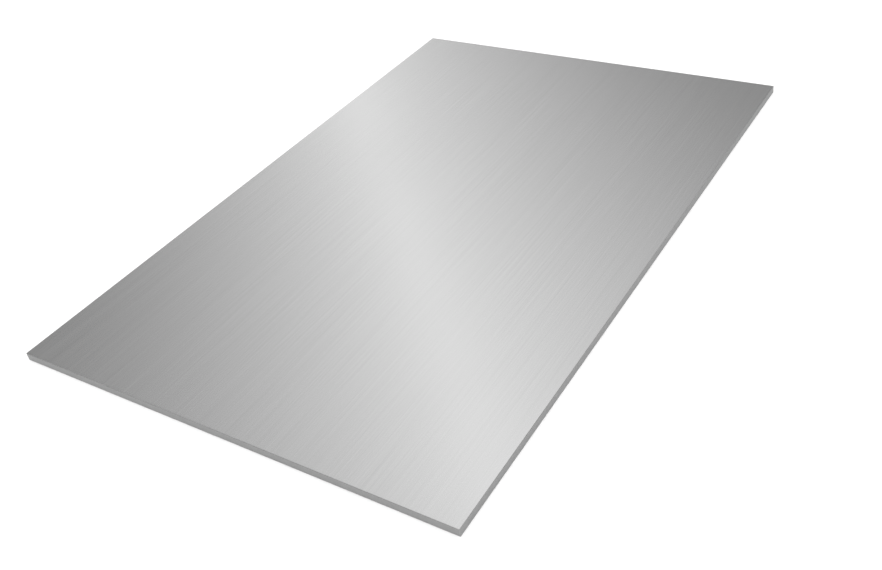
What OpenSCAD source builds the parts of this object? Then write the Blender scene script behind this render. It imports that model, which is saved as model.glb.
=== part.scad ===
// Flat rectangular sheet of stainless steel, cut square and deburred.
// Millimetres. X runs along the length, Y along the width, Z up through the
// thickness. The origin is the centre of the underside, so the sheet lies
// flat on the plane Z = 0.

/* [Sheet] */
// Length, along X
sheet_l = 450; // [150:5:600]
// Width, along Y
sheet_w = 300; // [100:5:600]
// Thickness, the rolled gauge
sheet_t = 5; // [2:0.5:6]

/* [Edges] */
// Radius that deburring leaves along the edges, top and bottom
edge_r = 0.2; // [0.1:0.05:0.8]
// Radius of the four upright corners, seen from above
corner_r = 0.5; // [0.5:0.1:6]

/* [Hidden] */
$fn = 64;
// The corner always turns wider than the full round of the edge, so that the
// section of the border stays on one side of the axis it turns about.
turn_r = max(corner_r, 2 * edge_r + 0.1);
// Straight lengths between the corners
run_x = sheet_l - 2 * turn_r;
run_y = sheet_w - 2 * turn_r;

// Half section of the border: turn_r wide, full thickness, with its two
// outer edges rounded. X points outward from the sheet, Y is the height.
module border_section() {
    square([turn_r - edge_r, sheet_t]);
    translate([0, edge_r])
        square([turn_r, sheet_t - 2 * edge_r]);
    for (z = [edge_r, sheet_t - edge_r])
        translate([turn_r - edge_r, z])
            circle(r = edge_r);
}

// Border along the +Y side
module long_border() {
    translate([-run_x / 2, run_y / 2, 0])
        rotate([90, 0, 90])
            linear_extrude(height = run_x)
                border_section();
}

// Border along the +X end
module end_border() {
    translate([run_x / 2, run_y / 2, 0])
        rotate([90, 0, 0])
            linear_extrude(height = run_y)
                border_section();
}

// Quarter turn of the border at the +X +Y corner
module corner() {
    translate([run_x / 2, run_y / 2, 0])
        rotate_extrude(angle = 90)
            border_section();
}

// The whole sheet: one rolled piece
module steel_sheet() {
    color([0.72, 0.72, 0.72])
        union() {
            translate([-run_x / 2, -run_y / 2, 0])
                cube([run_x, run_y, sheet_t]);
            for (flip_y = [0, 1])
                mirror([0, flip_y, 0]) long_border();
            for (flip_x = [0, 1])
                mirror([flip_x, 0, 0]) end_border();
            for (flip_x = [0, 1], flip_y = [0, 1])
                mirror([flip_x, 0, 0]) mirror([0, flip_y, 0]) corner();
        }
}

steel_sheet();
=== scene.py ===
"""A flat stainless steel sheet, lying on a pale floor under soft studio light.

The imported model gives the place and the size. The sheet shown here stands for
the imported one: the same rolled faces, edge rounds and corners, with the fine
upright relief of a cut face all round it, and a satin finish whose grain runs
along the length.
"""

import math

import bpy
import numpy as np
from mathutils import Matrix, Vector


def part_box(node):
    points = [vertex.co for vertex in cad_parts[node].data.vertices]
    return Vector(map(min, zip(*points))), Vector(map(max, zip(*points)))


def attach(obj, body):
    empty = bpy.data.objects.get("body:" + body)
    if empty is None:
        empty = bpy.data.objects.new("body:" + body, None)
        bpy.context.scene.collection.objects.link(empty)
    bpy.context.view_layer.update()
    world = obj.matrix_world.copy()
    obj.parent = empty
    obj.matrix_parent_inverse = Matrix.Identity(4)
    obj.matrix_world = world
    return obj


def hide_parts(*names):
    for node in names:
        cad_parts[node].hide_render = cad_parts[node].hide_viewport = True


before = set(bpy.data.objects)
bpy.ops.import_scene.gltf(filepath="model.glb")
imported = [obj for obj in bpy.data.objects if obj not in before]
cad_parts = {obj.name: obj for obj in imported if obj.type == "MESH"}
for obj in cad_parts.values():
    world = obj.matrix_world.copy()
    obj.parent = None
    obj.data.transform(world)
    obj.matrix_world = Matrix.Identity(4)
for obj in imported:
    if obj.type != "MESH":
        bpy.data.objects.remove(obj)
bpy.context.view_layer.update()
scene = bpy.context.scene

MM = 0.001


# ---------------------------------------------------------------- the camera
# Solved from the edges of the sheet in the photograph's 882 x 570 frame.
IMAGE_W = 882
FOCAL_PX = 1010.108
CENTRE_X_PX = 466.71

cam_data = bpy.data.cameras.new("camera")
cam = bpy.data.objects.new("camera", cam_data)
scene.collection.objects.link(cam)
right = Vector((0.50965312, -0.85239396, -0.11695395))
down = Vector((-0.56961058, -0.23240485, -0.78837287))
ahead = Vector((0.64482361, 0.46841490, -0.60397847))
turn = Matrix((right, -down, -ahead)).transposed()
cam.matrix_world = Matrix.Translation((-0.45287869, -0.33951408, 0.36486892)) @ turn.to_4x4()
cam_data.sensor_width = 36.0
cam_data.lens = FOCAL_PX / IMAGE_W * cam_data.sensor_width
cam_data.shift_x = (IMAGE_W / 2 - CENTRE_X_PX) / IMAGE_W
cam_data.clip_start = 0.01
cam_data.clip_end = 200.0
scene.camera = cam


# ----------------------------------------------------------------- the sheet
EDGE_R = 0.2 * MM     # deburred round along the edges
CORNER_R = 0.5 * MM   # upright corners, seen from above
CELL = 5.0 * MM       # grid of the rolled faces
SPLIT = 8             # columns of the cut faces to one cell of the grid
ROUND_STEPS = 5
SIDE_STEPS = 10
CORNER_STEPS = 8


def value_noise(rng, along, across, size_along, size_across):
    """Smooth noise from -1 to 1 on a lattice, read at points (along, across)."""
    u, v = along / size_along, across / size_across
    nu, nv = int(np.max(u)) + 3, int(np.max(v)) + 3
    grid = rng.uniform(-1.0, 1.0, (nu, nv))
    iu, iv = np.floor(u).astype(int), np.floor(v).astype(int)
    fu, fv = u - iu, v - iv
    fu, fv = fu * fu * (3 - 2 * fu), fv * fv * (3 - 2 * fv)
    low = grid[iu, iv] * (1 - fu) + grid[iu + 1, iv] * fu
    high = grid[iu, iv + 1] * (1 - fu) + grid[iu + 1, iv + 1] * fu
    return low * (1 - fv) + high * fv


def outline(length, width):
    """Columns round the sheet, anticlockwise from above: points, outward
    normals, run along the edge, and the first column of each side."""
    rx, ry = length / 2 - CORNER_R, width / 2 - CORNER_R
    cells_x, cells_y = round(2 * rx / CELL), round(2 * ry / CELL)
    sides = [
        ((length / 2, -ry), (0, 1), (1, 0), 2 * ry, cells_y, (rx, ry), 0),
        ((rx, width / 2), (-1, 0), (0, 1), 2 * rx, cells_x, (-rx, ry), 90),
        ((-length / 2, ry), (0, -1), (-1, 0), 2 * ry, cells_y, (-rx, -ry), 180),
        ((-rx, -width / 2), (1, 0), (0, -1), 2 * rx, cells_x, (rx, -ry), 270),
    ]
    points, normals, runs, starts, cells, run = [], [], [], [], [], 0.0
    for start, way, normal, span, n, centre, angle in sides:
        starts.append(len(points))
        cells.append(n)
        for k in range(n * SPLIT):
            t = span * k / (n * SPLIT)
            points.append((start[0] + way[0] * t, start[1] + way[1] * t))
            normals.append(normal)
            runs.append(run + t)
        run += span
        for k in range(CORNER_STEPS):
            a = math.radians(angle + 90.0 * k / CORNER_STEPS)
            points.append((centre[0] + CORNER_R * math.cos(a), centre[1] + CORNER_R * math.sin(a)))
            normals.append((math.cos(a), math.sin(a)))
            runs.append(run + CORNER_R * math.radians(90.0 * k / CORNER_STEPS))
        run += CORNER_R * math.pi / 2
    return np.array(points), np.array(normals), np.array(runs), starts, cells, run, (rx, ry)


def build_sheet(name, lo, hi):
    length, width, thick = hi.x - lo.x, hi.y - lo.y, hi.z - lo.z
    points, normals, runs, starts, cells, round_trip, (rx, ry) = outline(length, width)
    columns = len(points)

    # The section from the top face, over the edge, down the cut face and under:
    # how far in from the outline, how high, and which way it faces.
    section = []
    for k in range(ROUND_STEPS + 1):
        a = math.pi / 2 * k / ROUND_STEPS
        section.append((EDGE_R * (1 - math.sin(a)), thick - EDGE_R * (1 - math.cos(a)), math.sin(a), math.cos(a)))
    for k in range(1, SIDE_STEPS):
        section.append((0.0, thick - EDGE_R - (thick - 2 * EDGE_R) * k / SIDE_STEPS, 1.0, 0.0))
    for k in range(ROUND_STEPS + 1):
        a = math.pi / 2 * (1 - k / ROUND_STEPS)
        section.append((EDGE_R * (1 - math.sin(a)), EDGE_R * (1 - math.cos(a)), math.sin(a), -math.cos(a)))
    section = np.array(section)
    rows = len(section)

    # Upright relief of the cut: it only goes inward, and fades out towards the
    # edge rounds and the corners, so that the outline keeps its exact size.
    rng = np.random.RandomState(7)
    along = np.broadcast_to(runs[None, :], (rows, columns))
    high = np.broadcast_to(section[:, 1][:, None], (rows, columns))
    slant = along + 0.12 * high
    relief = 0.5 * value_noise(rng, slant, high, 1.3 * MM, 9.0 * MM)
    relief += 0.3 * value_noise(rng, slant, high, 2.9 * MM, 3.0 * MM)
    relief += 0.2 * value_noise(rng, along, high, 14.0 * MM, 2.0 * MM)
    fade = np.clip((high - EDGE_R) / (0.8 * MM), 0, 1) * np.clip((thick - EDGE_R - high) / (0.8 * MM), 0, 1)
    flat_side = (np.abs(normals).max(1) > 0.999)[None, :]
    inward = np.where(flat_side, 0.012 * MM * (1 + relief) * fade, 0.0)

    inset = section[:, 0][:, None] + inward
    verts = np.empty((rows, columns, 3))
    verts[..., :2] = points[None] - normals[None] * inset[..., None]
    verts[..., 2] = high
    facing = np.empty((rows, columns, 3))
    facing[..., :2] = normals[None] * section[:, 2][:, None, None]
    facing[..., 2] = section[:, 3][:, None]
    verts, facing = list(verts.reshape(-1, 3)), list(facing.reshape(-1, 3))

    # Maps: the upper face as large as it goes, with the underside on the same
    # place, because its grain is the same. Below them lie the cut faces, twice
    # as large, each side in two strips.
    scale = 0.984 / length
    cut_scale = 2 * scale
    arc = np.concatenate([[0.0], np.cumsum(np.hypot(np.diff(section[:, 0]), np.diff(section[:, 1])))])
    strip_h = arc[-1] * cut_scale
    top_v = 0.992 - width * scale

    def uv_flat(p):
        return 0.008 + (p[0] - lo.x) * scale, top_v + (p[1] - lo.y) * scale

    faces, uvs, is_cut = [], [], []
    ends = np.append(runs, round_trip)
    halves = []
    for side, first in enumerate(starts):
        last = starts[side + 1] if side < 3 else columns
        middle = first + cells[side] * SPLIT // 2
        halves += [(first, middle), (middle, last)]
    for strip, (first, last) in enumerate(halves):
        strip_top = top_v - 0.010 - strip * (strip_h + 0.008)
        for c in range(first, last):
            nxt = (c + 1) % columns
            u0, u1 = 0.008 + (ends[c:c + 2] - ends[first]) * cut_scale
            for r in range(rows - 1):
                v0, v1 = strip_top - arc[r:r + 2] * cut_scale
                faces.append((
                    (r + 1) * columns + c, (r + 1) * columns + nxt, r * columns + nxt, r * columns + c))
                uvs.append(((u0, v1), (u1, v1), (u1, v0), (u0, v0)))
                is_cut.append(True)

    def flat_face(row, z, up):
        """A rolled face: a grid, and a narrow ring that joins it to the edge."""
        gx, gy = cells[1], cells[0]
        base = len(verts)
        for j in range(gy + 1):
            for i in range(gx + 1):
                verts.append(np.array((-rx + 2 * rx * i / gx, -ry + 2 * ry * j / gy, z)))
                facing.append(np.array((0.0, 0.0, 1.0 if up else -1.0)))

        def at(i, j):
            return base + j * (gx + 1) + i

        polygons = [
            (at(i, j), at(i + 1, j), at(i + 1, j + 1), at(i, j + 1))
            for j in range(gy) for i in range(gx)]
        inner = [
            [at(gx, j) for j in range(gy + 1)],
            [at(gx - i, gy) for i in range(gx + 1)],
            [at(0, gy - j) for j in range(gy + 1)],
            [at(i, 0) for i in range(gx + 1)],
        ]
        for side, first in enumerate(starts):
            for g in range(cells[side]):
                c0 = first + g * SPLIT
                rim = [row * columns + (c0 + k) % columns for k in range(SPLIT + 1)]
                polygons.append(tuple(rim) + (inner[side][g + 1], inner[side][g]))
            c0 = first + cells[side] * SPLIT
            for k in range(CORNER_STEPS):
                polygons.append((
                    row * columns + c0 + k, row * columns + (c0 + k + 1) % columns, inner[side][-1]))
        for p in polygons:
            p = p if up else tuple(reversed(p))
            faces.append(p)
            uvs.append(tuple(uv_flat(verts[i]) for i in p))
            is_cut.append(False)

    flat_face(0, thick, True)
    flat_face(rows - 1, 0.0, False)

    mesh = bpy.data.meshes.new(name)
    mesh.from_pydata([tuple(v) for v in verts], [], faces)
    mesh.polygons.foreach_set("material_index", np.array(is_cut, np.int32))
    mesh.polygons.foreach_set("use_smooth", np.ones(len(faces), bool))
    layer = mesh.uv_layers.new(name="OFBake")
    layer.data.foreach_set("uv", np.array([x for face in uvs for corner in face for x in corner], np.float32))
    mesh.update()
    mesh.validate()

    # The rolled faces and the rounds face exactly where they should; the cut
    # faces keep the slopes of their relief.
    shading = np.array(facing)
    slopes = np.empty(len(mesh.vertices) * 3, np.float32)
    mesh.vertex_normals.foreach_get("vector", slopes)
    slopes = slopes.reshape(-1, 3)
    cut = np.zeros(len(verts), bool)
    cut[: rows * columns] = (fade * flat_side).ravel() > 0.01
    shading[cut] = slopes[cut]
    mesh.normals_split_custom_set_from_vertices(shading)

    piece = bpy.data.objects.new(name, mesh)
    scene.collection.objects.link(piece)
    return piece


lo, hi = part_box("steel_sheet")
sheet = build_sheet("sheet_body", lo, hi)


# ------------------------------------------------------------- the materials
class Nodes:
    """A small hand for making node trees."""

    def __init__(self, tree):
        self.tree = tree
        tree.nodes.clear()

    def add(self, kind, inputs=None, **settings):
        node = self.tree.nodes.new(kind)
        for key, value in settings.items():
            setattr(node, key, value)
        for key, value in (inputs or {}).items():
            socket = node.inputs[key]
            if isinstance(value, bpy.types.NodeSocket):
                self.tree.links.new(value, socket)
            else:
                socket.default_value = value
        return node

    def math(self, operation, a, b=0.0, clamp=False):
        return self.add("ShaderNodeMath", {0: a, 1: b}, operation=operation, use_clamp=clamp).outputs[0]

    def span(self, value, a, b, c, d, smooth=False):
        """value from a to b becomes c to d, and stays there outside."""
        node = self.add("ShaderNodeMapRange", {0: value, 1: a, 2: b, 3: c, 4: d}, clamp=True)
        node.interpolation_type = "SMOOTHSTEP" if smooth else "LINEAR"
        return node.outputs[0]

    def streaks(self, where, per_metre, detail=2.0, roughness=0.5):
        """Noise stretched by its scale in each direction, from 0 to 1."""
        place = self.add("ShaderNodeMapping", {"Vector": where, "Scale": per_metre, "Location": (0.0, 0.0, 0.2)})
        noise = self.add("ShaderNodeTexNoise", {
            "Vector": place.outputs[0], "Scale": 1.0, "Detail": detail, "Roughness": roughness})
        return noise.outputs["Fac"]


def new_material(name):
    material = bpy.data.materials.new(name)
    material.use_nodes = True
    return material, Nodes(material.node_tree)


def satin_faces():
    """Rolled face with a satin finish: fine grain along X, in several widths,
    alike on the upper face and the underside."""
    material, n = new_material("satin_stainless")
    where = n.add("ShaderNodeTexCoord").outputs["Object"]
    fine = n.streaks(where, (11.0, 1150.0, 0.0), 2.0, 0.75)
    broad = n.streaks(where, (2.5, 230.0, 0.0), 2.0, 0.5)
    cloud = n.streaks(where, (9.0, 13.0, 0.0), 2.0, 0.5)

    grain = n.math("ADD", n.math("MULTIPLY", fine, 0.85), n.math("MULTIPLY", broad, 0.15))
    tone = n.span(grain, 0.2, 0.8, 0.492, 0.548)
    colour = n.add("ShaderNodeCombineColor", {0: tone, 1: tone, 2: tone}).outputs[0]
    rough = n.math("ADD", n.span(grain, 0.2, 0.8, 0.195, 0.245), n.span(cloud, 0.25, 0.75, -0.012, 0.012))
    bump = n.add("ShaderNodeBump", {"Height": grain, "Strength": 1.0, "Distance": 5.0e-6})
    along = n.add("ShaderNodeTangent", direction_type="UV_MAP", uv_map="OFBake")
    shader = n.add("ShaderNodeBsdfPrincipled", {
        "Base Color": colour, "Metallic": 1.0, "Roughness": rough, "Anisotropic": 0.35, "Anisotropic Rotation": 0.25,
        "Normal": bump.outputs[0], "Tangent": along.outputs[0]})
    n.add("ShaderNodeOutputMaterial", {"Surface": shader.outputs[0]})
    return material


def cut_faces():
    """Cut face: duller, with upright striations. Its tone is darker than the rolled faces', partly for the duller
    cut and partly as painted shade that darkens the sides.
    """
    material, n = new_material("cut_stainless_painted_shade")
    where = n.add("ShaderNodeTexCoord").outputs["Object"]
    lines = n.streaks(where, (1400.0, 1400.0, 90.0), 3.0, 0.6)
    patch = n.streaks(where, (120.0, 120.0, 200.0), 2.0, 0.5)

    both = n.math("ADD", n.math("MULTIPLY", lines, 0.65), n.math("MULTIPLY", patch, 0.35))
    # Painted shade: this tone sits well below the rolled faces' tone, partly for the duller cut and partly to darken
    # the sides as shade would.
    tone = n.span(both, 0.25, 0.75, 0.316, 0.374)
    colour = n.add("ShaderNodeCombineColor", {0: tone, 1: tone, 2: tone}).outputs[0]
    rough = n.span(both, 0.25, 0.75, 0.42, 0.52)
    bump = n.add("ShaderNodeBump", {"Height": lines, "Strength": 1.0, "Distance": 6.0e-6})
    shader = n.add("ShaderNodeBsdfPrincipled", {
        "Base Color": colour, "Metallic": 1.0, "Roughness": rough, "Specular Tint": (0.8, 0.8, 0.8, 1.0),
        "Normal": bump.outputs[0]})
    n.add("ShaderNodeOutputMaterial", {"Surface": shader.outputs[0]})
    return material


sheet.data.materials.append(satin_faces())
sheet.data.materials.append(cut_faces())
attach(sheet, "root")
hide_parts("steel_sheet")


# ------------------------------------------------------- the floor and lights
floor_mesh = bpy.data.meshes.new("floor")
ring = [(40.0 * math.cos(a), 40.0 * math.sin(a), -0.15 * MM) for a in np.linspace(0, 2 * math.pi, 97)[:-1]]
floor_mesh.from_pydata(ring, [], [tuple(range(len(ring)))])
floor = bpy.data.objects.new("floor", floor_mesh)
scene.collection.objects.link(floor)
pale, n = new_material("pale_floor")
shader = n.add("ShaderNodeBsdfPrincipled", {
    "Base Color": (0.93, 0.93, 0.93, 1.0), "Roughness": 1.0, "Specular IOR Level": 0.0})
n.add("ShaderNodeOutputMaterial", {"Surface": shader.outputs[0]})
floor_mesh.materials.append(pale)

# Four long soft strips cross overhead. Each fades to grey on both sides and has a
# brighter tube along its middle, so that from every side one of them runs up the
# sheet as a soft ridge of light. A strip is told by the direction across it, how
# far aside its middle lies for each unit of height, how bright that is, how fast
# it fades on either side, and its tube. The last three are the long dim tails of
# the three before them. Only the first strip is whole: the others stop short of
# the middle, so that it alone is straight above the sheet.
GREY, TUBE_HALF = 0.58, 0.025
GAP = (0.25, 0.80)
HALF = math.sqrt(0.5)
STRIPS = (
    ((HALF, -HALF), 0.144, 1.157, 0.768, 0.614, 0.70),
    ((HALF, HALF), -0.10, 1.10, 1.05, 1.05, 0.30),
    ((1.0, 0.0), -0.12, 1.10, 1.05, 1.05, 0.30),
    ((0.0, 1.0), -0.14, 1.10, 1.10, 1.10, 0.30),
    ((HALF, HALF), -0.10, 0.75, 0.13, 0.13, 0.0),
    ((1.0, 0.0), -0.12, 0.75, 0.13, 0.13, 0.0),
    ((0.0, 1.0), -0.14, 0.75, 0.13, 0.13, 0.0),
)

world = bpy.data.worlds.new("studio")
scene.world = world
world.use_nodes = True
n = Nodes(world.node_tree)
axes = n.add("ShaderNodeSeparateXYZ", {0: n.add("ShaderNodeTexCoord").outputs["Generated"]})
height = n.math("MAXIMUM", axes.outputs[2], 0.06)
x, y = n.math("DIVIDE", axes.outputs[0], height), n.math("DIVIDE", axes.outputs[1], height)
fades, tubes = [], []
for (ax, ay), at, high, left, right_fade, bright in STRIPS:
    aside = n.math("ADD", n.math("MULTIPLY", x, ax), n.math("MULTIPLY", y, ay))
    fade = n.math(
        "MINIMUM",
        n.span(aside, at - (high - GREY) / left, at, 0.0, high - GREY),
        n.span(aside, at, at + (high - GREY) / right_fade, high - GREY, 0.0))
    tube = n.span(n.math("ABSOLUTE", n.math("SUBTRACT", aside, at)), 0.0, TUBE_HALF, bright, 0.0)
    if fades:
        onward = n.math("ABSOLUTE", n.math("SUBTRACT", n.math("MULTIPLY", y, ax), n.math("MULTIPLY", x, ay)))
        whole = n.span(onward, GAP[0], GAP[1], 0.0, 1.0, smooth=True)
        fade, tube = n.math("MULTIPLY", fade, whole), n.math("MULTIPLY", tube, whole)
    fades.append(fade)
    tubes.append(tube)
fade, tube = fades[0], tubes[0]
for k in range(1, len(STRIPS)):
    fade, tube = n.math("MAXIMUM", fade, fades[k]), n.math("MAXIMUM", tube, tubes[k])
light = n.math("ADD", n.math("POWER", n.math("ADD", fade, GREY), 2.2), tube)
along = n.math("MULTIPLY", n.math("ADD", x, y), HALF)
light = n.math("MULTIPLY", light, n.span(along, 0.8, 2.3, 1.037, 0.963))
seen = n.add("ShaderNodeLightPath").outputs["Is Camera Ray"]
light = n.add("ShaderNodeMix", {0: seen, 2: light, 3: 1.0}, data_type="FLOAT").outputs[0]
tint = n.add("ShaderNodeCombineColor", {0: light, 1: light, 2: light}).outputs[0]
shade = n.add("ShaderNodeBackground", {"Color": tint, "Strength": 1.0})
n.add("ShaderNodeOutputWorld", {"Surface": shade.outputs[0]})

# A wide soft lamp, high over the near corner, whitens the floor evenly as far as it
# goes, and its soft shadow falls behind the sheet. It is kept out of the reflections,
# which the strips alone make.
lamp_data = bpy.data.lights.new("lamp", "SUN")
lamp_data.angle = math.radians(60.0)
lamp_data.energy = 1.75
lamp = bpy.data.objects.new("lamp", lamp_data)
scene.collection.objects.link(lamp)
lamp.location = (-1.16, -0.86, 2.0)
lamp.rotation_euler = Vector((0.58, 0.43, -1.0)).to_track_quat("-Z", "Y").to_euler()
lamp.visible_glossy = False

scene.view_settings.view_transform = "Standard"
scene.view_settings.look = "None"
